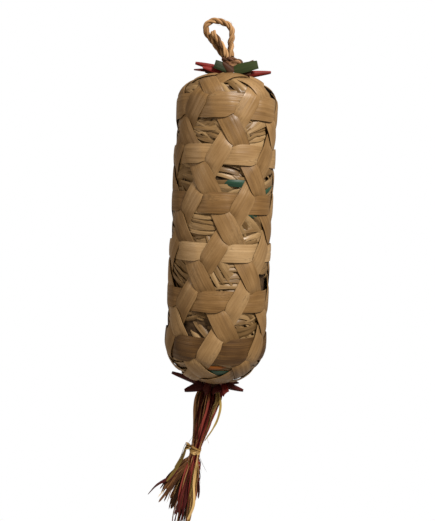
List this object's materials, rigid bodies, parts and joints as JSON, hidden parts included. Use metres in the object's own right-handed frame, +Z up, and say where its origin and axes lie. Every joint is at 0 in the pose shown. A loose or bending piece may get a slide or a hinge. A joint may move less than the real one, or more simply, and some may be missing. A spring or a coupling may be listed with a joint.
{
  "type": "hanging rainstick",
  "caption": "Hanging rainstick: pegged cane tube with loose seeds, packed in shredded leaf inside an open palm-leaf weave, with a rope loop, leaf-point rosettes and a raffia tassel.",
  "frame": {"origin": "the point under the top of the rope loop where a hook or nail carries the stick", "axes": "+Z up along the stick's length, towards the rope loop; +Y away from the side seen first, so that the loop leans and the tassel hangs towards -X"},
  "size_m": [0.081, 0.0738, 0.3751],
  "materials": {
    "leaf_tan": "dried palm leaf strip, satin, fine lengthwise fibres",
    "leaf_brown": "darker dried palm leaf strip, satin, fine lengthwise fibres",
    "leaf_pale": "shredded dry palm leaf, matt",
    "leaf_red": "red dyed palm leaf, satin",
    "leaf_maroon": "dark maroon dyed palm leaf, satin",
    "leaf_green": "dark green dyed palm leaf, satin",
    "rope": "twisted natural fibre rope, matt",
    "cane": "smooth cane",
    "plug_wood": "turned light wood, bare",
    "thorn": "dark thorn",
    "seed": "polished seed coat",
    "raffia_maroon": "maroon dyed raffia, slightly glossy",
    "raffia_brown": "red-brown raffia, slightly glossy",
    "raffia_tan": "golden natural raffia, slightly glossy",
    "raffia_olive": "olive raffia, slightly glossy"
  },
  "bodies": {
    "loop": {"hanging_loop": "rope", "loop_tail": "rope"},
    "knot": {"top_knot": "rope"},
    "hanger": {"top_cord": "rope"},
    "stick": {"level_band_1": "leaf_brown", "rising_strip_1": "leaf_tan", "falling_strip_1": "leaf_tan", "level_band_2": "leaf_brown", "rising_strip_2": "leaf_tan", "falling_strip_2": "leaf_tan", "level_band_3": "leaf_brown", "rising_strip_3": "leaf_tan", "falling_strip_3": "leaf_tan", "level_band_4": "leaf_brown", "rising_strip_4": "leaf_tan", "falling_strip_4": "leaf_tan", "level_band_5": "leaf_brown", "rising_strip_5": "leaf_tan", "falling_strip_5": "leaf_tan", "level_band_6": "leaf_brown", "rising_strip_6": "leaf_tan", "falling_strip_6": "leaf_tan", "peg_01": "thorn", "peg_02": "thorn", "peg_03": "thorn", "peg_04": "thorn", "peg_05": "thorn", "peg_06": "thorn", "peg_07": "thorn", "peg_08": "thorn", "peg_09": "thorn", "peg_10": "thorn", "peg_11": "thorn", "peg_12": "thorn", "leaf_stuffing": "leaf_pale", "sound_tube": "cane", "top_plug": "plug_wood", "bottom_plug": "plug_wood", "top_red_star": "leaf_red", "top_green_star": "leaf_green", "bottom_dark_star": "leaf_maroon", "bottom_red_star": "leaf_red"},
    "seeds": {"seed_charge": "seed"},
    "tassel_cord": {"bottom_cord": "rope"},
    "tassel_knot_body": {"tassel_knot": "raffia_maroon"},
    "tassel": {"raffia_maroon_front": "raffia_maroon", "raffia_tan_right": "raffia_tan", "raffia_maroon_right": "raffia_maroon", "raffia_maroon_back": "raffia_maroon", "raffia_brown_back": "raffia_brown", "raffia_brown_left": "raffia_brown", "raffia_loose_strand": "raffia_olive", "tassel_tie": "raffia_tan"}
  },
  "joints": [
    {"name": "side_swing", "type": "hinge", "parent": "loop", "child": "knot", "pos_m": [0.011, 0, -0.0289], "axis": [0, 1, 0], "range_deg": [-40, 40]},
    {"name": "front_swing", "type": "hinge", "parent": "knot", "child": "hanger", "pos_m": [0.011, 0, -0.0289], "axis": [1, 0, 0], "range_deg": [-40, 40]},
    {"name": "stick_turn", "type": "hinge", "parent": "hanger", "child": "stick", "pos_m": [0.011, 0, -0.0289], "axis": [0, 0, 1], "range_deg": [-180, 180]},
    {"name": "seed_run", "type": "slide", "parent": "stick", "child": "seeds", "axis": [0, 0, 1], "range_m": [0, 0.13]},
    {"name": "tassel_turn", "type": "hinge", "parent": "stick", "child": "tassel_cord", "pos_m": [0.011, 0, -0.2687], "axis": [0, 0, 1], "range_deg": [-180, 180]},
    {"name": "tassel_side_swing", "type": "hinge", "parent": "tassel_cord", "child": "tassel_knot_body", "pos_m": [0.0086, 0, -0.2687], "axis": [0, 1, 0], "range_deg": [-25, 25], "stiffness_Nm_per_rad": 0.02},
    {"name": "tassel_front_swing", "type": "hinge", "parent": "tassel_knot_body", "child": "tassel", "pos_m": [0.0086, 0, -0.2687], "axis": [1, 0, 0], "range_deg": [-25, 25], "stiffness_Nm_per_rad": 0.02}
  ]
}
